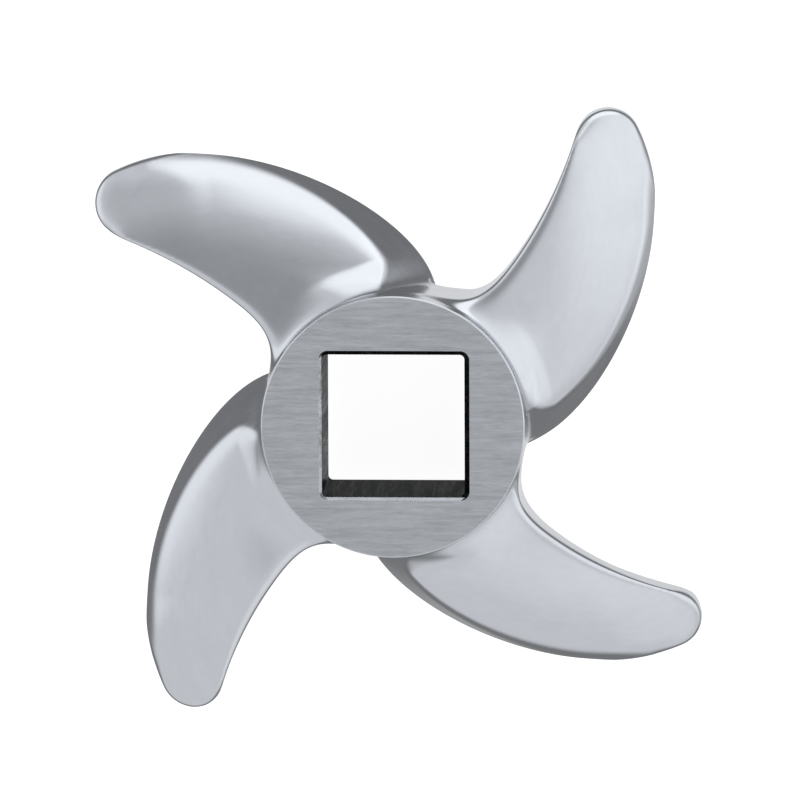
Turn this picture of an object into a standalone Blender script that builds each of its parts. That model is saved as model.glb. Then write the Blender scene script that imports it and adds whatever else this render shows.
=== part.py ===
"""Cutting knife of a size 22 meat grinder: a square-drive hub with four swept, tilted arms.

The knife lies on the grinder's hole plate. The origin is on its axis, in the cutting plane where the
ground lands of the arms touch the plate, and +Z points along the axis towards the feed screw.
The knife is one casting. Here it is a hub and four arms, GAP apart at the roots of the arms.
Every arm is the same shape turned by a quarter, and is drawn as the one that points to +X +Y.
"""
from math import atan2, cos, degrees, hypot, pi, radians, sin

import bmesh
import bpy
from mathutils import Matrix, Vector
from mathutils.geometry import interpolate_bezier

MM = 0.001
GAP = 0.3 * MM                    # clearance between the hub and an arm
ARMS = 4

# Hub
HUB_R = 13.25 * MM
HUB_REAR = 14.0 * MM              # height of the face that meets the feed screw
HUB_FRONT = 1.7 * MM              # the front face stands back from the cutting plane
HUB_CHAMFER = 0.35 * MM
DRIVE_SQUARE = 14.3 * MM          # 9/16 in square of the feed screw
DRIVE_CORNER_R = 1.0 * MM
DRIVE_CHAMFER = 0.45 * MM
SIDE_STEPS = 12                   # points along one side of the square
CORNER_STEPS = 6                  # points round one of its corners

# Arm outline, seen along the axis
TIP_R = 38.0 * MM                 # half of the 76 mm across the tips
TIP_ROUND = 3.3 * MM              # radius of the rounded end of an arm
TIP_ANGLE = 52.3                  # bearing of the middle of that rounding
ROOT_R = HUB_R + GAP
ROOT_LEAD_ANGLE = -15.0           # where the cutting edge leaves the hub
ROOT_TRAIL_ANGLE = 68.5           # where the trailing side leaves the hub
EDGE_BOW = Vector((20.9 * MM, -1.0 * MM))
EDGE_TIP_ANGLE = 25.5             # where the cutting edge runs into the tip's rounding
EDGE_TIP_PULL = 12.7 * MM
TRAIL_ROOT_PULL = 5.0 * MM
TRAIL_TIP_ANGLE = 161.7           # where the trailing side runs into it
TRAIL_TIP_PULL = 9.7 * MM
TIP_MIDDLE_ANGLE = 95.0           # the last point of the arm, on that rounding

# Arm heights above the cutting plane: root, middle and tip of the arm
LAND = 3.0 * MM                   # width of the ground land behind the cutting edge
LAND_SHARE = 0.45                 # the most of the arm's width that it takes, at the tip
EDGE_HEIGHT = 0.25 * MM
FLANK_SLOPE = (2.4, 1.5, 1.0)
RIDGE_HEIGHT = (8.2 * MM, 4.4 * MM, 2.4 * MM)
TRAIL_HEIGHT = (11.2 * MM, 8.6 * MM, 3.2 * MM)
TRAIL_WALL = (8.5 * MM, 6.0 * MM, 2.0 * MM)
TRAIL_UNDER = (1.9 * MM, 3.6 * MM, 0.9 * MM)
TIP_HEIGHT = 1.8 * MM             # at the last point of the arm
TRAIL_SLOPE = 2.2
RIDGE_BLEND = 2.6 * MM
TRAIL_BLEND = 2.2 * MM
SCOOP_DEPTH = 8.0 * MM            # hollow beside the hub, on the cutting edge's side
SCOOP_REACH = 3.6 * MM
SCOOP_SLOPE = 0.5
SCOOP_BLEND = 1.0 * MM
SCOOP_SPAN = 1 / 1.6              # share of the arm's width where the hollow has run out
TRAIL_BULGE = 0.4 * MM            # how far the trailing side's middle stands out past its rims
BULGE_IN = 5                      # power of the curve by which that bulge grows at the root
BULGE_OUT = 8                     # power of the curve by which it fades at the tip
BEND_FROM = 0.1                   # share of the ribs from which they begin to straighten
BEND_OVER = 0.5                   # share of the ribs over which they straighten
SHARP_TURN = radians(32.0)        # edges that turn by more are drawn sharp

# Steel
GROUND_COLOUR = (0.60, 0.60, 0.64)
GROUND_ROUGHNESS = 0.38
POLISHED_COLOUR = (0.72, 0.73, 0.76)
POLISHED_ROUGHNESS = 0.22

MAIN_RIBS = 20
TIP_RIBS = 6
LAND_ROWS = (0.0, 0.2, 0.55, 1.0)
BODY_ROWS = 8


def on_circle(radius, angle, centre=(0.0, 0.0)):
    """Point of a circle at a bearing in degrees."""
    turn = radians(angle)
    return Vector((centre[0] + radius * cos(turn), centre[1] + radius * sin(turn)))


def heading(angle):
    """Direction of travel, anticlockwise, on a circle at a bearing in degrees."""
    return on_circle(1.0, angle + 90.0)


TIP_CENTRE = on_circle(TIP_R - TIP_ROUND, TIP_ANGLE)


def curve(start, pull_start, pull_end, end, count):
    """Points of a cubic curve, as 2-D vectors."""
    points = interpolate_bezier(start, pull_start, pull_end, end, count)
    return [Vector(point[:2]) for point in points]


def tip_arc(start_angle, count):
    """Points on the tip's rounding after start_angle, up to the last point of the arm."""
    step = (TIP_MIDDLE_ANGLE - start_angle) / count
    return [on_circle(TIP_ROUND, start_angle + step * i, TIP_CENTRE) for i in range(1, count + 1)]


def cutting_edge():
    """The convex side of the arm, from the hub to the tip."""
    start = on_circle(ROOT_R, ROOT_LEAD_ANGLE)
    end = on_circle(TIP_ROUND, EDGE_TIP_ANGLE, TIP_CENTRE)
    pull_end = end - heading(EDGE_TIP_ANGLE) * EDGE_TIP_PULL
    return curve(start, EDGE_BOW, pull_end, end, MAIN_RIBS) + tip_arc(EDGE_TIP_ANGLE, TIP_RIBS)


def trailing_side():
    """The concave side of the arm, from the hub to the tip."""
    start = on_circle(ROOT_R, ROOT_TRAIL_ANGLE)
    end = on_circle(TIP_ROUND, TRAIL_TIP_ANGLE, TIP_CENTRE)
    pull_start = start - heading(ROOT_TRAIL_ANGLE) * TRAIL_ROOT_PULL
    pull_end = end + heading(TRAIL_TIP_ANGLE) * TRAIL_TIP_PULL
    return curve(start, pull_start, pull_end, end, MAIN_RIBS) + tip_arc(TRAIL_TIP_ANGLE, TIP_RIBS)


def along(values, t):
    """Parabola through the values at the root, the middle and the tip of the arm."""
    root, middle, tip = values
    return root * (1 - t) * (1 - 2 * t) + 4 * middle * t * (1 - t) + tip * t * (2 * t - 1)


def smooth_min(a, b, blend):
    """The lower of two heights, rounded where they cross."""
    near = max(blend - abs(a - b), 0.0) / blend
    return min(a, b) - near * near * blend / 4


def smooth_step(x):
    x = min(max(x, 0.0), 1.0)
    return x * x * (3 - 2 * x)


def top_height(point, from_edge, width):
    """Height of the polished upper face at a point, from_edge away from the cutting edge."""
    radius = hypot(point.x, point.y)
    t = min((radius - HUB_R) / (TIP_R - HUB_R), 1.0)
    across = min(from_edge / width, 1.0)
    flank = EDGE_HEIGHT + along(FLANK_SLOPE, t) * from_edge
    hollow = SCOOP_DEPTH * (1 - smooth_step((radius - HUB_R) / SCOOP_REACH))
    floor = EDGE_HEIGHT + SCOOP_SLOPE * from_edge
    flank = -smooth_min(hollow * (1 - smooth_step(across / SCOOP_SPAN)) - flank, -floor, SCOOP_BLEND)
    ridge, trail = along(RIDGE_HEIGHT, t), along(TRAIL_HEIGHT, t)
    back = ridge + (trail - ridge) * across
    wall = along(TRAIL_WALL, t) + TRAIL_SLOPE * (width - from_edge)
    return smooth_min(smooth_min(flank, back, RIDGE_BLEND), wall, TRAIL_BLEND)


def path_length(points):
    return sum((b - a).length for a, b in zip(points, points[1:]))


def left_normals(points):
    """Unit normals of a plan curve, to its left."""
    normals = []
    for i in range(len(points)):
        run = points[min(i + 1, len(points) - 1)] - points[max(i - 1, 0)]
        normals.append(Vector((-run.y, run.x)).normalized())
    return normals


def rib(edge, trail, land, bend):
    """Plan points across the arm: the rows of the land first, then the rest to the trailing side.

    A straight rib would cut through the hub near the root, so there bend turns it into an arc
    round the axis.
    """
    points = [edge + land * row for row in LAND_ROWS]
    last = points[-1]
    points += [last.lerp(trail, sin(pi / 2 * (i + 1) / BODY_ROWS)) for i in range(BODY_ROWS)]
    start, end = atan2(edge.y, edge.x), atan2(trail.y, trail.x)
    total, walked = path_length(points), 0.0
    rows = [edge]
    for before, point in zip(points, points[1:]):
        walked += (point - before).length
        part = walked / total
        radius = edge.length + (trail.length - edge.length) * part
        arc = on_circle(radius, degrees(start + (end - start) * part))
        rows.append(point.lerp(arc, bend))
    return rows


def tip_turn(i):
    """How far rib i has gone round the tip, from 0 on the main ribs to a right angle."""
    return max(i - MAIN_RIBS + 1, 0) / TIP_RIBS * pi / 2


def arm_ribs(edge, trail):
    """The plan points of every rib from the root to just before the last point of the arm."""
    edge_inward, trail_inward = left_normals(edge), left_normals(trail)
    last = len(edge) - 1
    ribs = []
    for i in range(last):
        u = i / last
        inset = TRAIL_BULGE * (1 - (1 - u) ** BULGE_IN) * (1 - u ** BULGE_OUT)
        rim = trail[i] - trail_inward[i] * inset
        across = rim - edge[i]
        inward = edge_inward[i].lerp(across.normalized(), sin(tip_turn(i)))
        land = inward * min(LAND, LAND_SHARE * across.length)
        ribs.append(rib(edge[i], rim, land, 1 - smooth_step((u - BEND_FROM) / BEND_OVER)))
    return ribs


def rib_heights(plan):
    """Heights of the upper face along a rib."""
    total, walked = path_length(plan), 0.0
    heights = [top_height(plan[0], 0.0, total)]
    for before, point in zip(plan, plan[1:]):
        walked += (point - before).length
        heights.append(top_height(point, walked, total))
    return heights


def arm_mesh(name):
    """One arm: a grid of ribs on top and below, a rounded trailing side, one point at the tip."""
    edge, trail = cutting_edge(), trailing_side()
    bm = bmesh.new()
    tops, unders, bulges = [], [], []
    relief = [0.0] * len(LAND_ROWS) + [sin(pi / 2 * (j + 1) / BODY_ROWS) for j in range(BODY_ROWS)]
    for i, plan in enumerate(arm_ribs(edge, trail)):
        dome = cos(tip_turn(i))
        if dome == 1.0:
            heights = rib_heights(plan)
        t = min((plan[-1].length - HUB_R) / (TIP_R - HUB_R), 1.0)
        under = along(TRAIL_UNDER, t) * dome
        lifted = [TIP_HEIGHT + (height - TIP_HEIGHT) * dome for height in heights]
        tops.append([bm.verts.new((*point, height)) for point, height in zip(plan, lifted)])
        unders.append([bm.verts.new((*point, under * rise)) for point, rise in zip(plan, relief)])
        bulges.append(bm.verts.new((*trail[i], (lifted[-1] + under) / 2)))
    for i in range(len(tops) - 1):
        for j in range(len(relief) - 1):
            bm.faces.new((tops[i][j], tops[i + 1][j], tops[i + 1][j + 1], tops[i][j + 1]))
            bm.faces.new((unders[i][j], unders[i][j + 1], unders[i + 1][j + 1], unders[i + 1][j]))
        bm.faces.new((tops[i][0], unders[i][0], unders[i + 1][0], tops[i + 1][0]))
        bm.faces.new((tops[i][-1], tops[i + 1][-1], bulges[i + 1], bulges[i]))
        bm.faces.new((bulges[i], bulges[i + 1], unders[i + 1][-1], unders[i][-1]))
    close_root(bm, tops[0], unders[0], bulges[0])
    close_tip(bm, edge[-1], tops[-1], unders[-1], bulges[-1])
    bmesh.ops.recalc_face_normals(bm, faces=bm.faces)
    bmesh.ops.triangulate(bm, faces=bm.faces)
    mesh = bpy.data.meshes.new(name)
    bm.to_mesh(mesh)
    bm.free()
    return mesh


def close_root(bm, top, under, bulge):
    """The root's wall, along the hub."""
    for j in range(len(top) - 2):
        bm.faces.new((top[j], top[j + 1], under[j + 1], under[j]))
    bm.faces.new((top[-2], top[-1], bulge, under[-1], under[-2]))


def close_tip(bm, last, top, under, bulge):
    """Fans from the last rib to the last point of the arm."""
    tip_top = bm.verts.new((*last, TIP_HEIGHT))
    tip_under = bm.verts.new((*last, 0.0))
    for j in range(len(top) - 1):
        bm.faces.new((top[j], tip_top, top[j + 1]))
        bm.faces.new((under[j], under[j + 1], tip_under))
    bm.faces.new((top[0], under[0], tip_under, tip_top))
    bm.faces.new((top[-1], tip_top, bulge))
    bm.faces.new((bulge, tip_top, tip_under))
    bm.faces.new((bulge, tip_under, under[-1]))


def square_loop(half, corner):
    """Plan points of the drive square with rounded corners, anticlockwise from its lower right."""
    points = []
    for quarter in range(4):
        turn = Matrix.Rotation(quarter * pi / 2, 2)
        for i in range(SIDE_STEPS):
            points.append(turn @ Vector((half, (half - corner) * (2 * i / SIDE_STEPS - 1))))
        for i in range(CORNER_STEPS):
            bend = on_circle(corner, 90.0 * i / CORNER_STEPS, (half - corner, half - corner))
            points.append(turn @ bend)
    return points


def round_loop(radius, like):
    """As many points on a circle as the drive square has, on the same bearings."""
    return [Vector((radius, 0.0)) @ Matrix.Rotation(-atan2(p.y, p.x), 2) for p in like]


def hub_mesh():
    """The hub: chamfered round outside and chamfered square drive inside."""
    half = DRIVE_SQUARE / 2
    inner = square_loop(half, DRIVE_CORNER_R)
    inner_wide = square_loop(half + DRIVE_CHAMFER, DRIVE_CORNER_R + DRIVE_CHAMFER)
    outer, outer_slim = round_loop(HUB_R, inner), round_loop(HUB_R - HUB_CHAMFER, inner)
    rings = (
        (outer_slim, HUB_FRONT),
        (outer, HUB_FRONT + HUB_CHAMFER),
        (outer, HUB_REAR - HUB_CHAMFER),
        (outer_slim, HUB_REAR),
        (inner_wide, HUB_REAR),
        (inner, HUB_REAR - DRIVE_CHAMFER),
        (inner, HUB_FRONT + DRIVE_CHAMFER),
        (inner_wide, HUB_FRONT),
    )
    bm = bmesh.new()
    loops = [[bm.verts.new((*point, height)) for point in points] for points, height in rings]
    count = len(inner)
    for lower, upper in zip(loops, loops[1:] + loops[:1]):
        for i in range(count):
            k = (i + 1) % count
            bm.faces.new((lower[i], lower[k], upper[k], upper[i]))
    bmesh.ops.recalc_face_normals(bm, faces=bm.faces)
    mesh = bpy.data.meshes.new("hub")
    bm.to_mesh(mesh)
    bm.free()
    return mesh


def metal(name, colour, roughness):
    material = bpy.data.materials.new(name)
    material.use_nodes = True
    shader = material.node_tree.nodes["Principled BSDF"]
    shader.inputs["Base Color"].default_value = (*colour, 1.0)
    shader.inputs["Roughness"].default_value = roughness
    shader.inputs["Metallic"].default_value = 1.0
    return material


def add_piece(name, mesh, material, turn=0.0):
    mesh.shade_smooth()
    mesh.set_sharp_from_angle(angle=SHARP_TURN)
    piece = bpy.data.objects.new(name, mesh)
    piece.rotation_euler.z = turn
    piece.data.materials.append(material)
    bpy.context.scene.collection.objects.link(piece)
    return piece


def main():
    for old in list(bpy.data.objects):
        bpy.data.objects.remove(old, do_unlink=True)
    ground = metal("ground_steel", GROUND_COLOUR, GROUND_ROUGHNESS)
    polished = metal("polished_steel", POLISHED_COLOUR, POLISHED_ROUGHNESS)
    add_piece("hub", hub_mesh(), ground)
    for i in range(ARMS):
        name = f"arm_{i + 1}"
        add_piece(name, arm_mesh(name), polished, i * 2 * pi / ARMS)


main()
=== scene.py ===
"""Looks of the meat grinder knife: one polished steel casting with machined faces.

The casting is built as the real one is made. A smooth blank, hub and four arms with their fillets,
is the zero surface of a field in numpy. Cutters then machine it: the rear face with its rim
chamfer, the cutting plane, and the drive square. Lengths inside the field are in millimetres.
"""
from math import cos, pi, radians, sin

import bmesh
import bpy
import numpy as np
from mathutils import Matrix, Vector
from mathutils.geometry import interpolate_bezier


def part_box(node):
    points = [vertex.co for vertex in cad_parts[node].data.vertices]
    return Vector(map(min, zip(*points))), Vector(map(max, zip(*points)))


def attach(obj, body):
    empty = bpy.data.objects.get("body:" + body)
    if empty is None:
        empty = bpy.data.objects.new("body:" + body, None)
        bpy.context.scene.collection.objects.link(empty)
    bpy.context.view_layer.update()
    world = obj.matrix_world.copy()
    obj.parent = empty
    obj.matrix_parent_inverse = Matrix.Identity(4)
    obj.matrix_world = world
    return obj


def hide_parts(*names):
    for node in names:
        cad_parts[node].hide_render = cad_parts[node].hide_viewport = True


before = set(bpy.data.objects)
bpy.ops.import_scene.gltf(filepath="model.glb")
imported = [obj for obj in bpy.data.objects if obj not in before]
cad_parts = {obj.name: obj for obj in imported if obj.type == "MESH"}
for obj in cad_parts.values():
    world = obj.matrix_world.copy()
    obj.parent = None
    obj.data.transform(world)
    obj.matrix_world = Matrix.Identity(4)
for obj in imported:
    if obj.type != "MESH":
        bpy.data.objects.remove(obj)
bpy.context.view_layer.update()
MM = 0.001

# From the frame
HUB_LOW, HUB_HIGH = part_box("hub")
HUB_R = HUB_HIGH.x / MM
HUB_FRONT = HUB_LOW.z / MM
HUB_REAR = HUB_HIGH.z / MM

# Plan of the arm that points to +X +Y
ARMS = 4
TIP_R = 38.0
TIP_ROUND = 3.3
TIP_ANGLE = 52.3
ROOT_LEAD = (13.1, -3.5)
EDGE_BOW = (20.9, -1.0)
EDGE_TIP_ANGLE = 25.5
EDGE_TIP_PULL = 12.7
EDGE_RUN_IN = 8.0
ROOT_TRAIL = (6.0, 10.0)
TRAIL_BOW = (10.4, 13.2)
TRAIL_START = (0.0, 6.0)
TRAIL_TIP_ANGLE = 163.0
TRAIL_TIP_PULL = 8.7
TIP_MIDDLE_ANGLE = 95.0
CURVE_STEPS = 56
TIP_STEPS = 14

# Heights and slopes of the arm at its root, middle and tip
FLANK_SLOPE = (2.7, 3.2, 1.4)     # of the steep face that rises from the cutting edge
RIDGE_HEIGHT = (7.6, 2.3, 1.3)
TRAIL_HEIGHT = (10.6, 8.8, 3.4)
RELIEF_SLOPE = (0.16, 0.45, 0.25)  # of the underside behind the land
RELIEF_BLEND = 0.6
LAND = 3.0                        # width of the ground land behind the cutting edge
CROWN = 0.75                      # share of the top's rise that bends over like a dome
TIP_HEIGHT = 1.3
TIP_RETURN = 3.0
TIP_EASE = 9.0                    # length over which an arm turns into its tip
TIP_SPREAD = 3.0                  # evens the top's rise across the arm at the tip
LINE_SPREAD = 0.05                # the same everywhere else
TURN_SPAN = 2.6                   # width of the tip's turn to the trailing side, in tip radii
LEVEL_SPAN = 4.0                  # width of the top's rise at the tip, in tip radii
ROUND_FROM = 2.5                  # the edge's line gives way to the tip's round from here
ROUND_OVER = 5.0                  # over this length
ARM_REACH_IN = 11.0
ROOT_BEARING = radians(30.0)
ARM_START = 6.0
SPARE = 1.0                       # casting left outside the machined planes
LEAD_SPARE = 0.25                 # how far the casting reaches past the cutting edge
LAND_SIDE = 1.5                   # slope of the casting beside the land, below the cutting plane
SCOOP_SHARE = 0.18                # how much gentler the flank is at the hub
SCOOP_RISE = 3.2
SCOOP_REACH = 3.6
SCOOP_START = 0.6

RIDGE_BLEND = (1.4, 1.4, 2.2)
TRAIL_BLEND = 1.9
TIP_SHARE = 0.35                  # share of that blend round the tip
EDGE_BLEND = 0.1
START_BLEND = 1.0
TRAIL_START_BLEND = 2.0
UNDER_BLEND = 2.0
FRONT_BLEND = 1.2
SPARE_BLEND = 0.6
HUB_BLEND = 6.5                   # fillet between hub and arm on the trailing side
ROOT_FILLET = 1.6                 # and at the cutting edge
REAR_FILLET = 0.5                 # and at the rear face
FILLET_FROM = 3.0                 # distance from the cutting edge where the fillet starts to grow
FILLET_OVER = 6.0
FILLET_DEPTH = 4.0                # depth under the rear face where the fillet is whole

NET_STEP = 0.32
NET_REACH = 32.0
SLOPE_PROBE = 0.02
SETTLE_ROUNDS = 3
SETTLE_STEPS = 2                  # steps back onto the surface in each round
SETTLE_LIMIT = 0.3                # longest step
LEAST_STEEP = 0.05
RIM_STEPS = 180

DRIVE_HALF = 7.15
DRIVE_CORNER_R = 0.5
DRIVE_CHAMFER = 0.42
DRIVE_SHIFT = (0.14, 0.16)        # the mouth is off centre, as in the photograph
DRIVE_CUT = 0.3                   # depth of the chamfer
DRIVE_LEAN = 0.28                 # below it the far sides lean in by twice this
DRIVE_WORN = 1.5                  # down to here
FRONT_CHAMFER = 0.4
CORNER_STEPS = 10
RIM_CHAMFER = 0.13
RIM_CUT = 1.0                     # how far the rim's cutter goes on at 45 degrees
CLEAR = 4.0                       # how far the cutters reach past the casting
CUTTER_R = 60.0
ON_PLANE = 1e-7                   # metres from the cutting plane that count as on it

# Which faces are machined; the drive hole's faces are split into a painted shade region and a painted
# light region
CAST, REAR_FACE, RIM, BROACHED_PAINTED_SHADE, LIT_CHAMFER_PAINTED_LIGHT, GROUND_LAND = range(6)
NEAR = 0.01
TILT_SLACK = 0.02                 # how far the rim's normals may be from 45 degrees
FACING = 0.9                      # least upward part of the normal of a flat face
MOUTH_FACING = 0.5                # and of the mouth's chamfer
INWARD = -0.3                     # outward part of the normal of a face in the square
HOLE_REACH = 0.6                  # how far beyond the square its faces reach


def along(values, t):
    """Parabola through the values at the root, the middle and the tip of the arm."""
    root, middle, tip = values
    return root * (1 - t) * (1 - 2 * t) + 4 * middle * t * (1 - t) + tip * t * (2 * t - 1)


def smooth_step(x):
    x = np.clip(x, 0.0, 1.0)
    return x * x * (3 - 2 * x)


def smooth_max(a, b, blend):
    """The higher of two fields, rounded where they cross."""
    near = np.maximum(blend - np.abs(a - b), 0.0) / blend
    return np.maximum(a, b) + near ** 3 * blend / 6


def smooth_min(a, b, blend):
    return -smooth_max(-a, -b, blend)


def on_circle(radius, angle, centre=(0.0, 0.0)):
    turn = radians(angle)
    return Vector((centre[0] + radius * cos(turn), centre[1] + radius * sin(turn)))


def heading(angle):
    return on_circle(1.0, angle + 90.0)


TIP_CENTRE = on_circle(TIP_R - TIP_ROUND, TIP_ANGLE)


def tip_arc(start_angle):
    step = (TIP_MIDDLE_ANGLE - start_angle) / TIP_STEPS
    return [on_circle(TIP_ROUND, start_angle + step * i, TIP_CENTRE) for i in range(1, TIP_STEPS + 1)]


def cutting_edge():
    """The edge from inside the hub to the middle of the tip."""
    end = on_circle(TIP_ROUND, EDGE_TIP_ANGLE, TIP_CENTRE)
    pull = end - heading(EDGE_TIP_ANGLE) * EDGE_TIP_PULL
    start, bow = Vector(ROOT_LEAD), Vector(EDGE_BOW)
    points = interpolate_bezier(start, bow, pull, end, CURVE_STEPS)
    inside = start - (bow - start).normalized() * EDGE_RUN_IN
    return np.array([inside, *(p[:2] for p in points), *tip_arc(EDGE_TIP_ANGLE)])


def trailing_side():
    """The trailing side from inside the hub to the middle of the tip."""
    end = on_circle(TIP_ROUND, TRAIL_TIP_ANGLE, TIP_CENTRE)
    pull = end + heading(TRAIL_TIP_ANGLE) * TRAIL_TIP_PULL
    points = interpolate_bezier(Vector(ROOT_TRAIL), Vector(TRAIL_BOW), pull, end, CURVE_STEPS)
    return np.array([TRAIL_START, *(p[:2] for p in points), *tip_arc(TRAIL_TIP_ANGLE)])


def side_distance(points, line):
    """Distance from plan points to an open line, positive on its left."""
    best = np.full(len(points), 1e9)
    signed = np.zeros(len(points))
    for start, run in zip(line, line[1:] - line[:-1]):
        off = points - start
        part = np.clip((off @ run) / (run @ run), 0.0, 1.0)
        away = off - part[:, None] * run
        distance = np.hypot(away[:, 0], away[:, 1])
        side = np.sign(run[0] * off[:, 1] - run[1] * off[:, 0])
        nearer = distance < best
        best = np.where(nearer, distance, best)
        signed = np.where(nearer, distance * side, signed)
    return signed


EDGE_LINE = cutting_edge()
TRAIL_LINE = trailing_side()


def arm_side(x, y):
    """How far a plan point lies from the axis towards the middle of the arm's root."""
    return x * cos(ROOT_BEARING) + y * sin(ROOT_BEARING)


def arm_plan(x, y):
    """What the arm's field needs to know of each plan point."""
    points = np.stack([x, y], axis=-1)
    lead = side_distance(points, EDGE_LINE)
    trail = -side_distance(points, TRAIL_LINE)
    radius = np.hypot(x, y)
    t = np.clip((radius - HUB_R) / (TIP_R - HUB_R), 0.0, 1.0)
    forward, sideways = on_circle(1.0, TIP_MIDDLE_ANGLE), heading(TIP_MIDDLE_ANGLE)
    from_tip = points - np.array(TIP_CENTRE)
    ahead = from_tip @ np.array(forward)
    tipness = smooth_step((ahead + TIP_EASE) / (TIP_EASE + TIP_ROUND / 2))
    inside_tip = (TIP_ROUND ** 2 - (from_tip ** 2).sum(axis=1)) / (2 * TIP_ROUND)
    edge_side = lead + (inside_tip - lead) * smooth_step((ahead + ROUND_FROM) / ROUND_OVER)
    aside = from_tip @ np.array(sideways) / TIP_ROUND
    turned = smooth_step(0.5 + aside / TURN_SPAN)
    rise = tipness * (TIP_HEIGHT + TIP_RETURN * turned)
    even = LINE_SPREAD + TIP_SPREAD * tipness
    from_lead, from_trail = np.maximum(lead, 0.0) + even, np.maximum(trail, 0.0) + even
    across = from_lead / (from_lead + from_trail)
    across = across + (smooth_step(0.5 + aside / LEVEL_SPAN) - across) * tipness
    scoop = 1 - smooth_step((radius - HUB_R + SCOOP_START) / SCOOP_REACH)
    slope = along(FLANK_SLOPE, t) * (1 - SCOOP_SHARE * scoop)
    ridge, back = along(RIDGE_HEIGHT, t) + SCOOP_RISE * scoop, along(TRAIL_HEIGHT, t)
    past_land = lead - LAND
    under = smooth_min(along(RELIEF_SLOPE, t) * past_land, LAND_SIDE * past_land, RELIEF_BLEND)
    start = smooth_max(ARM_REACH_IN - radius, ARM_START - arm_side(x, y), START_BLEND)
    trail_side = smooth_max(-trail, start, TRAIL_START_BLEND * (1 - tipness) + EDGE_BLEND)
    lead_side = -(lead + LEAD_SPARE * (1 - tipness))
    trailing = smooth_step(trail_side - lead_side)
    fillet_growth = smooth_step((lead - FILLET_FROM) / FILLET_OVER)
    return {
        "flank": rise + slope * edge_side,
        "lean": 1 / np.sqrt(1 + slope * slope),
        "top": ridge + (back - ridge) * (across + CROWN * across * (1 - across)),
        "under": under,
        "fillet": ROOT_FILLET + (HUB_BLEND - ROOT_FILLET) * fillet_growth,
        "sides": np.maximum(trail_side, lead_side),
        "side_blend": EDGE_BLEND + TRAIL_BLEND * (TIP_SHARE * tipness + (1 - tipness) * trailing),
        "ridge_blend": along(RIDGE_BLEND, t),
    }


def arm_field(z, plan):
    upper = smooth_max((z - plan["flank"]) * plan["lean"], z - plan["top"], plan["ridge_blend"])
    body = smooth_max(upper, plan["sides"], plan["side_blend"])
    return smooth_max(body, plan["under"] - z, UNDER_BLEND)


def quarter_turn(x, y, quarter):
    """The point as the arm of that quarter sees it."""
    for _ in range(quarter):
        x, y = y, -x
    return x, y


def casting_field(x, y, z):
    """Below zero inside the blank. x and y are flat lists; z is the same, or a column of levels."""
    field = smooth_max(np.hypot(x, y) - HUB_R, HUB_FRONT - z, FRONT_BLEND)
    for quarter in range(ARMS):
        arm_x, arm_y = quarter_turn(x, y, quarter)
        near = arm_side(arm_x, arm_y) > ARM_START - HUB_BLEND
        plan = arm_plan(arm_x[near], arm_y[near])
        level = z[near] if z.shape == x.shape else z
        fillet = REAR_FILLET + plan["fillet"] * smooth_step((HUB_REAR - level) / FILLET_DEPTH)
        field[..., near] = smooth_min(field[..., near], arm_field(level, plan), fillet)
    return smooth_max(field, np.maximum(z - HUB_REAR, -z) - SPARE, SPARE_BLEND)


def surface_net(step, reach, low, high):
    """A quad mesh near the field's zero surface: a point in each crossed cell of a grid."""
    side = np.arange(-reach, reach + step, step)
    levels = np.arange(low, high + step, step)
    gx, gy = np.meshgrid(side, side, indexing="ij")
    field = casting_field(gx.ravel(), gy.ravel(), levels[:, None])
    field = field.reshape(len(levels), len(side), len(side)).transpose(1, 2, 0)
    inside = field < 0
    corners = [(i, j, k) for i in (0, 1) for j in (0, 1) for k in (0, 1)]
    shape = tuple(n - 1 for n in field.shape)

    def corner(grid, offset):
        return grid[tuple(slice(o, o + n) for o, n in zip(offset, shape))]

    filled = sum(corner(inside, c).astype(np.int8) for c in corners)
    cells = (filled > 0) & (filled < 8)
    index = np.full(shape, -1)
    index[cells] = np.arange(cells.sum())
    total = np.zeros((cells.sum(), 3))
    weight = np.zeros((cells.sum(), 1))
    for a in corners:
        for axis in range(3):
            if a[axis]:
                continue
            b = tuple(1 if i == axis else a[i] for i in range(3))
            fa, fb = corner(field, a)[cells], corner(field, b)[cells]
            crossed = ((fa < 0) != (fb < 0))[:, None]
            part = (fa / np.where(fa == fb, 1.0, fa - fb))[:, None]
            spot = np.array(a) + part * (np.array(b) - np.array(a))
            total += np.where(crossed, spot, 0.0)
            weight += crossed
    where = np.argwhere(cells) + total / weight
    points = where * step + np.array([-reach, -reach, low])
    quads = []
    for axis in range(3):
        u, v = (axis + 1) % 3, (axis + 2) % 3
        here = [slice(1, -1)] * 3
        here[axis] = slice(0, -1)
        ahead = list(here)
        ahead[axis] = slice(1, None)
        first, second = inside[tuple(here)], inside[tuple(ahead)]
        spots = np.argwhere(first != second)
        spots[:, u] += 1
        spots[:, v] += 1
        entering = ~inside[tuple(spots.T)]
        ring = []
        for du, dv in ((-1, -1), (0, -1), (0, 0), (-1, 0)):
            cell = spots.copy()
            cell[:, u] += du
            cell[:, v] += dv
            ring.append(index[tuple(cell.T)])
        ring = np.stack(ring, axis=1)
        ring[entering] = ring[entering][:, ::-1]
        quads.append(ring)
    return points, np.concatenate(quads)


def field_slope(points):
    """The field and its gradient at each point."""
    x, y, z = points.T
    here = casting_field(x, y, z)
    grad = np.stack([
        casting_field(x + SLOPE_PROBE, y, z) - here,
        casting_field(x, y + SLOPE_PROBE, z) - here,
        casting_field(x, y, z + SLOPE_PROBE) - here,
    ], axis=1) / SLOPE_PROBE
    return here, grad


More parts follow.
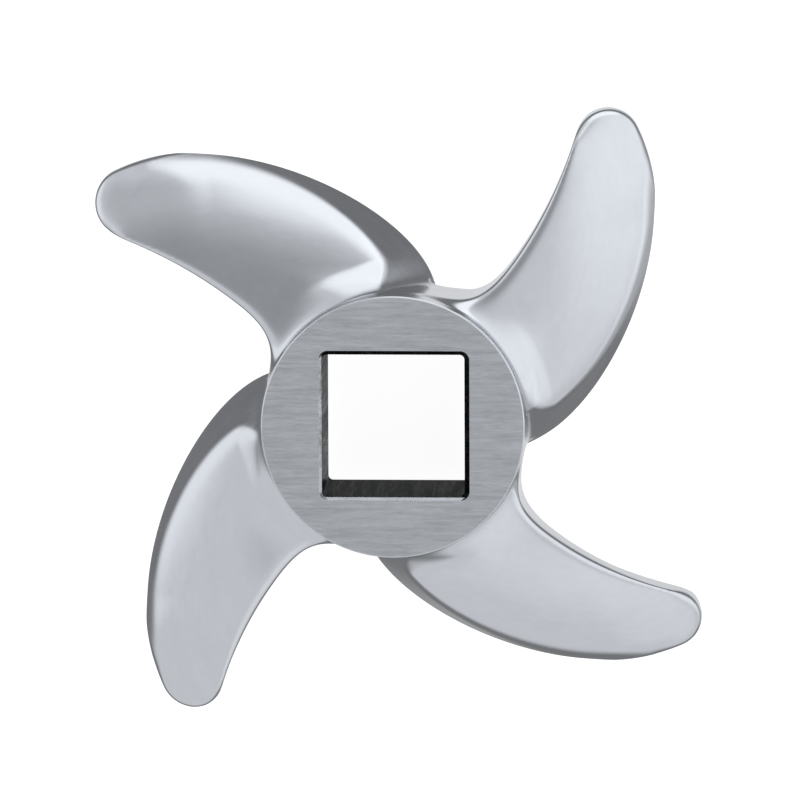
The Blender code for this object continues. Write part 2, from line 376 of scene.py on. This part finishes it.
def settle(points, quads, rounds):
    """Evens the points out along the surface and puts them exactly on it."""
    edges = np.concatenate([quads[:, [i, (i + 1) % 4]] for i in range(4)])
    count = np.bincount(edges[:, 0], minlength=len(points))[:, None]
    for _ in range(rounds):
        mean = np.zeros_like(points)
        for axis in range(3):
            mean[:, axis] = np.bincount(edges[:, 0], points[edges[:, 1], axis], len(points))
        points = points + 0.5 * (mean / count - points)
        for _ in range(SETTLE_STEPS):
            here, grad = field_slope(points)
            steep = np.maximum((grad ** 2).sum(axis=1), LEAST_STEEP)[:, None]
            points = points - np.clip(here[:, None] * grad / steep, -SETTLE_LIMIT, SETTLE_LIMIT)
    return points


def new_object(name, mesh):
    piece = bpy.data.objects.new(name, mesh)
    bpy.context.scene.collection.objects.link(piece)
    return piece


def casting_blank():
    """The smooth casting, cut flat at the cutting plane."""
    points, quads = surface_net(NET_STEP, NET_REACH, -2.0 * SPARE, HUB_REAR + 2.0 * SPARE)
    points = settle(points, quads, SETTLE_ROUNDS)
    mesh = bpy.data.meshes.new("knife_casting")
    mesh.from_pydata((points * MM).tolist(), [], quads.tolist())
    bm = bmesh.new()
    bm.from_mesh(mesh)
    whole = bm.verts[:] + bm.edges[:] + bm.faces[:]
    ground = bmesh.ops.bisect_plane(
        bm, geom=whole, dist=ON_PLANE, plane_no=(0.0, 0.0, -1.0), clear_outer=True)
    edges = [e for e in ground["geom_cut"] if isinstance(e, bmesh.types.BMEdge)]
    bmesh.ops.holes_fill(bm, edges=edges, sides=0)
    bm.to_mesh(mesh)
    bm.free()
    return new_object("knife_casting", mesh)


def lofted(name, loops):
    """A closed cutter through loops of plan points at given heights, in millimetres."""
    bm = bmesh.new()
    rings = [[bm.verts.new(Vector((*point, height)) * MM) for point in points]
             for points, height in loops]
    for lower, upper in zip(rings, rings[1:]):
        for i in range(len(lower)):
            k = (i + 1) % len(lower)
            bm.faces.new((lower[i], lower[k], upper[k], upper[i]))
    bm.faces.new(rings[0][::-1])
    bm.faces.new(rings[-1])
    mesh = bpy.data.meshes.new(name)
    bm.to_mesh(mesh)
    bm.free()
    return new_object(name, mesh)


def circle_loop(radius):
    return [on_circle(radius, 360.0 * i / RIM_STEPS) for i in range(RIM_STEPS)]


def square_loop(half, corner, centre=(0.0, 0.0)):
    """Plan points of a square with rounded corners."""
    points = []
    for quarter in range(4):
        middle = Matrix.Rotation(quarter * pi / 2, 2) @ Vector((half - corner, half - corner))
        for i in range(CORNER_STEPS + 1):
            angle = 90.0 * (quarter + i / CORNER_STEPS)
            points.append(on_circle(corner, angle, middle) + Vector(centre))
    return points


def machined(blank):
    """The blank with its rear face, the rim's chamfer and the drive square cut."""
    half, corner = DRIVE_HALF, DRIVE_CORNER_R
    mouth, throat = half + DRIVE_CHAMFER, half + DRIVE_LEAN
    drive = lofted("drive_cutter", [
        (square_loop(half + FRONT_CHAMFER + CLEAR, corner + CLEAR), HUB_FRONT - CLEAR),
        (square_loop(half, corner), HUB_FRONT + FRONT_CHAMFER),
        (square_loop(half, corner), HUB_REAR - DRIVE_WORN),
        (square_loop(throat, corner, (DRIVE_LEAN, DRIVE_LEAN)), HUB_REAR - DRIVE_CUT),
        (square_loop(mouth, corner + DRIVE_CHAMFER, DRIVE_SHIFT), HUB_REAR),
        (square_loop(mouth, corner + DRIVE_CHAMFER, DRIVE_SHIFT), HUB_REAR + CLEAR),
    ])
    rim = HUB_R - RIM_CHAMFER
    rear = lofted("rear_cutter", [
        (circle_loop(rim), HUB_REAR),
        (circle_loop(rim + RIM_CUT), HUB_REAR - RIM_CUT),
        (circle_loop(CUTTER_R), HUB_REAR - RIM_CUT),
        (circle_loop(CUTTER_R), HUB_REAR + CLEAR),
    ])
    for cutter in (rear, drive):
        cut = blank.modifiers.new(cutter.name, "BOOLEAN")
        cut.operation = "DIFFERENCE"
        cut.object = cutter
    bpy.context.view_layer.update()
    whole = blank.evaluated_get(bpy.context.evaluated_depsgraph_get())
    mesh = bpy.data.meshes.new_from_object(whole)
    mesh.name = "knife"
    blank.modifiers.clear()
    blank.data = mesh
    for cutter in (rear, drive):
        bpy.data.objects.remove(cutter, do_unlink=True)
    return blank


def face_regions(mesh):
    """Which machined face, or the casting, each polygon belongs to."""
    count = len(mesh.polygons)
    centre, normal = np.zeros(count * 3), np.zeros(count * 3)
    mesh.polygons.foreach_get("center", centre)
    mesh.polygons.foreach_get("normal", normal)
    centre, normal = centre.reshape(-1, 3) / MM, normal.reshape(-1, 3)
    region = np.full(count, CAST, dtype=np.int32)
    upward = normal[:, 2]
    rear = (centre[:, 2] > HUB_REAR - NEAR) & (upward > FACING)
    region[rear] = REAR_FACE
    radius = np.hypot(centre[:, 0], centre[:, 1])
    outside = (radius > HUB_R - RIM_CHAMFER) & (centre[:, 2] > HUB_REAR - RIM_CHAMFER - NEAR)
    region[outside & (np.abs(upward - cos(pi / 4)) < TILT_SLACK) & ~rear] = RIM
    in_hole = np.abs(centre[:, :2]).max(axis=1) < DRIVE_HALF + HOLE_REACH
    # Faces in the square take the near-black material, which paints the drive hole's shade.
    in_hole &= (normal[:, :2] * centre[:, :2]).sum(axis=1) < INWARD * radius
    region[in_hole] = BROACHED_PAINTED_SHADE
    # The chamfer's faces turned to +X +Y get a bright material of their own, and those turned away get
    # the near-black one: painted light and painted shade on one chamfer.
    lit = normal[:, 0] + normal[:, 1] > 0.0
    region[in_hole & lit & (upward > MOUTH_FACING)] = LIT_CHAMFER_PAINTED_LIGHT
    region[(centre[:, 2] < NEAR) & (upward < -FACING)] = GROUND_LAND
    return region


def dress_normals(mesh, region):
    """Cast faces take the field's own normals, machined faces stay flat, and the rim turns round."""
    corner_count = len(mesh.loops)
    vertex = np.zeros(corner_count, dtype=np.int32)
    mesh.loops.foreach_get("vertex_index", vertex)
    totals = np.zeros(len(mesh.polygons), dtype=np.int32)
    mesh.polygons.foreach_get("loop_total", totals)
    face = np.repeat(np.arange(len(mesh.polygons)), totals)
    flat = np.zeros(len(mesh.polygons) * 3)
    mesh.polygons.foreach_get("normal", flat)
    normals = flat.reshape(-1, 3)[face]
    place = np.zeros(len(mesh.vertices) * 3)
    mesh.vertices.foreach_get("co", place)
    place = place.reshape(-1, 3) / MM
    _, grad = field_slope(place)
    grad = grad / np.maximum(np.linalg.norm(grad, axis=1), 1e-6)[:, None]
    cast = region[face] == CAST
    normals[cast] = grad[vertex[cast]]
    rim = region[face] == RIM
    outward = place[vertex[rim]] * np.array([1.0, 1.0, 0.0])
    outward = outward / np.linalg.norm(outward, axis=1)[:, None]
    normals[rim] = (outward + np.array([0.0, 0.0, 1.0])) * cos(pi / 4)
    mesh.normals_split_custom_set(normals.tolist())


class Nodes:
    """Short calls for building a node tree."""

    def __init__(self, tree):
        self.tree = tree
        tree.nodes.clear()

    def add(self, kind, inputs=None, **settings):
        node = self.tree.nodes.new(kind)
        for name, value in settings.items():
            setattr(node, name, value)
        for name, value in (inputs or {}).items():
            socket = node.inputs[name]
            if isinstance(value, bpy.types.NodeSocket):
                self.tree.links.new(value, socket)
            else:
                socket.default_value = value
        return node

    def noise(self, coordinates, scale, detail, rough):
        """Noise with its own number of features per metre along each axis."""
        stretched = self.add("ShaderNodeVectorMath", {0: coordinates, 1: scale}, operation="MULTIPLY")
        return self.add("ShaderNodeTexNoise", {
            "Vector": stretched.outputs[0],
            "Scale": 1.0,
            "Detail": detail,
            "Roughness": rough,
        }).outputs["Fac"]

    def ranged(self, value, low, high, start, end, soft=False):
        return self.add("ShaderNodeMapRange", {
            "Value": value,
            "From Min": low,
            "From Max": high,
            "To Min": start,
            "To Max": end,
        }, interpolation_type="SMOOTHSTEP" if soft else "LINEAR").outputs["Result"]

    def blend(self, share, first, second):
        mixed = self.add("ShaderNodeMix", data_type="RGBA")
        self.tree.links.new(share, mixed.inputs[0])
        for socket, value in ((mixed.inputs[6], first), (mixed.inputs[7], second)):
            if isinstance(value, bpy.types.NodeSocket):
                self.tree.links.new(value, socket)
            else:
                socket.default_value = value
        return mixed.outputs[2]

    def bump(self, height, distance, normal=None):
        inputs = {"Height": height, "Distance": distance, "Strength": 1.0}
        if normal is not None:
            inputs["Normal"] = normal
        return self.add("ShaderNodeBump", inputs).outputs["Normal"]


STEEL_TINT = (0.955, 0.985, 1.04)


def grey(level, tint=STEEL_TINT):
    return (level * tint[0], level * tint[1], level * tint[2], 1.0)


# Shares of the steel's noise; scales are features per metre
FINE_DETAIL = (4.0, 0.7)          # octaves and their roughness
BROAD_DETAIL = (2.0, 0.5)
BROAD_STEP = 4                    # how much coarser the broad lines are
LINE_RANGE = (0.75, 1.25)
CLOUD_SCALE = (260.0, 260.0, 260.0)
CLOUD_DETAIL = (4.0, 0.6)
CLOUD_RANGE = (0.45, 0.75)
STAIN_LEVEL = 0.55
WAVE_SCALE = (230.0, 230.0, 230.0)
WAVE_DETAIL = (1.5, 0.5)
PIT_SCALE = (2600.0, 2600.0, 2600.0)
PIT_DETAIL = (2.0, 0.5)
PIT_RANGE = (0.66, 0.74)
WHITE = (1.0, 1.0, 1.0)


def steel(name, level, spread, roughness, lines, line_depth, waves=0.0, pits=0.0, stains=0.0, glance=1.0):
    """Steel with tool lines: lines is features per metre along each axis, depths are in metres.

    glance is how much it reflects when seen at a shallow angle.
    """
    material = bpy.data.materials.new(name)
    material.use_nodes = True
    nodes = Nodes(material.node_tree)
    place = nodes.add("ShaderNodeTexCoord").outputs["Object"]
    fine = nodes.noise(place, lines, *FINE_DETAIL)
    broad = nodes.noise(place, tuple(n / BROAD_STEP for n in lines), *BROAD_DETAIL)
    both = nodes.add("ShaderNodeMath", {0: fine, 1: broad}, operation="ADD").outputs[0]
    share = nodes.ranged(both, *LINE_RANGE, 0.0, 1.0)
    colour = nodes.blend(share, grey(level - spread), grey(level + spread))
    cloud = nodes.noise(place, CLOUD_SCALE, *CLOUD_DETAIL)
    stained = nodes.ranged(cloud, *CLOUD_RANGE, 0.0, stains)
    colour = nodes.blend(stained, colour, grey(level * STAIN_LEVEL))
    rough = nodes.ranged(both, *LINE_RANGE, *roughness)
    normal = nodes.bump(both, line_depth)
    if waves:
        normal = nodes.bump(nodes.noise(place, WAVE_SCALE, *WAVE_DETAIL), waves, normal)
    if pits:
        dots = nodes.noise(place, PIT_SCALE, *PIT_DETAIL)
        normal = nodes.bump(nodes.ranged(dots, *PIT_RANGE, 1.0, 0.0, True), pits, normal)
    shader = nodes.add("ShaderNodeBsdfPrincipled", {
        "Base Color": colour,
        "Metallic": 1.0,
        "Specular Tint": grey(glance, WHITE),
        "Roughness": rough,
        "Normal": normal,
    })
    nodes.add("ShaderNodeOutputMaterial", {"Surface": shader.outputs[0]})
    return material


# In the order of the regions, CAST to GROUND_LAND: colour level, its spread, roughness, tool lines,
# their depth
MATERIALS = [
    steel("polished_casting", 0.60, 0.012, (0.14, 0.19), (900.0, 900.0, 2500.0), 2.0e-7,
          waves=1.6e-5, pits=1.5e-6),
    steel("ground_rear_face", 0.49, 0.07, (0.32, 0.46), (1000.0, 13000.0, 1000.0), 1.2e-6,
          stains=0.06),
    steel("rim_break", 0.55, 0.05, (0.22, 0.34), (3000.0, 3000.0, 3000.0), 1.0e-6),
    # The drive hole's walls and the chamfer's faces turned away from +X +Y: the near-black colour and
    # weak glance paint the hole's shade; the cloudy stains on it are random.
    steel("broached_walls_painted_shade", 0.085, 0.03, (0.25, 0.4), (5200.0, 5200.0, 300.0), 2.0e-6,
          stains=0.5, glance=0.22),
    # The chamfer's faces turned to +X +Y: a bright colour that paints light on them.
    steel("drive_chamfer_painted_light", 0.72, 0.15, (0.2, 0.4), (1500.0, 1500.0, 1500.0), 2.0e-6, stains=0.3),
    steel("ground_lands", 0.62, 0.05, (0.28, 0.4), (700.0, 7000.0, 700.0), 1.6e-6, stains=0.1),
]

# The light: a tent that is darker below HORIZON, and soft panels on it. A panel is where it is,
# the cosine of the angle to its edge and to its heart, and how much it adds there.
HORIZON = (-0.64, -0.32)
LOW_LIGHT = 0.25
TENT_LIGHT = 0.89
LEAST_LIGHT = 0.02
TENT_TINT = (0.985, 0.995, 1.01)
PANELS = [
    ((-0.25, 0.46, 0.85), 0.63, 1.00, -0.44),
    ((0.95, 0.30, 0.05), 0.60, 1.00, 0.42),
    ((0.22, 0.96, -0.14), 0.82, 0.95, 0.65),
    ((0.36, -0.75, 0.56), 0.69, 1.00, 0.19),
    ((0.75, -0.20, -0.60), 0.90, 0.98, 0.35),
    ((-0.90, 0.30, -0.20), 0.84, 0.97, 0.35),
    ((0.00, 0.00, -1.00), 0.87, 0.985, 0.60),
]


def studio():
    """A soft light tent: bright round the sides, calmer overhead, darker below the horizon."""
    world = bpy.data.worlds.new("studio")
    bpy.context.scene.world = world
    world.use_nodes = True
    nodes = Nodes(world.node_tree)
    toward = nodes.add("ShaderNodeTexCoord").outputs["Generated"]
    apart = nodes.add("ShaderNodeSeparateXYZ", {0: toward}).outputs
    light = nodes.ranged(apart["Z"], *HORIZON, LOW_LIGHT, TENT_LIGHT, True)
    for aim, edge, heart, change in PANELS:
        facing = nodes.add("ShaderNodeVectorMath", {0: toward, 1: Vector(aim).normalized()},
                           operation="DOT_PRODUCT").outputs["Value"]
        extra = nodes.ranged(facing, edge, heart, 0.0, change, True)
        light = nodes.add("ShaderNodeMath", {0: light, 1: extra}, operation="ADD").outputs[0]
    light = nodes.add("ShaderNodeMath", {0: light, 1: LEAST_LIGHT}, operation="MAXIMUM").outputs[0]
    back = nodes.add("ShaderNodeBackground", {"Color": grey(1.0, TENT_TINT), "Strength": light})
    nodes.add("ShaderNodeOutputWorld", {"Surface": back.outputs[0]})


FLOOR_RADIUS = 3.0
FLOOR_STEPS = 96
FLOOR_HEIGHT = -0.00005           # just under the knife
FLOOR_COLOUR = (0.35, 0.35, 0.35, 1.0)
FLOOR_ROUGHNESS = 0.9
FLOOR_GLOW = 0.9


def floor():
    """A plain pale floor, lit evenly like a backdrop, that doesn't show in the steel."""
    bm = bmesh.new()
    bmesh.ops.create_circle(bm, cap_ends=True, segments=FLOOR_STEPS, radius=FLOOR_RADIUS)
    bmesh.ops.translate(bm, vec=(0.0, 0.0, FLOOR_HEIGHT), verts=bm.verts)
    mesh = bpy.data.meshes.new("floor")
    bm.to_mesh(mesh)
    bm.free()
    ground = new_object("floor", mesh)
    material = bpy.data.materials.new("pale_floor")
    material.use_nodes = True
    shader = material.node_tree.nodes["Principled BSDF"]
    shader.inputs["Base Color"].default_value = FLOOR_COLOUR
    shader.inputs["Roughness"].default_value = FLOOR_ROUGHNESS
    shader.inputs["Emission Color"].default_value = (*WHITE, 1.0)
    shader.inputs["Emission Strength"].default_value = FLOOR_GLOW
    mesh.materials.append(material)
    ground.visible_glossy = False


CAMERA_PLACE = Vector((0.049784, 0.144110, 0.979799))
CAMERA_AIM = Vector((0.00004, 0.00073, 0.0))
CAMERA_ROLL = radians(-0.21)
LENS = 438.8
SENSOR = 36.0
CLIP = (0.01, 20.0)


def camera():
    """The photograph's view: nearly along the axis, from 8 degrees above and 3 degrees to the right."""
    back = (CAMERA_PLACE - CAMERA_AIM).normalized()
    right = Vector((0.0, 1.0, 0.0)).cross(back).normalized()
    right = Matrix.Rotation(CAMERA_ROLL, 3, back) @ right
    up = back.cross(right)
    data = bpy.data.cameras.new("camera")
    data.lens = LENS
    data.sensor_width = SENSOR
    data.clip_start, data.clip_end = CLIP
    view = new_object("camera", data)
    view.matrix_world = Matrix((
        (right.x, up.x, back.x, CAMERA_PLACE.x),
        (right.y, up.y, back.y, CAMERA_PLACE.y),
        (right.z, up.z, back.z, CAMERA_PLACE.z),
        (0.0, 0.0, 0.0, 1.0),
    ))
    bpy.context.scene.camera = view


knife = machined(casting_blank())
regions = face_regions(knife.data)
for material in MATERIALS:
    knife.data.materials.append(material)
knife.data.polygons.foreach_set("material_index", regions)
dress_normals(knife.data, regions)
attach(knife, "root")
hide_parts("hub", *(f"arm_{i + 1}" for i in range(ARMS)))

floor()
studio()
camera()
bpy.context.scene.view_settings.view_transform = "Standard"
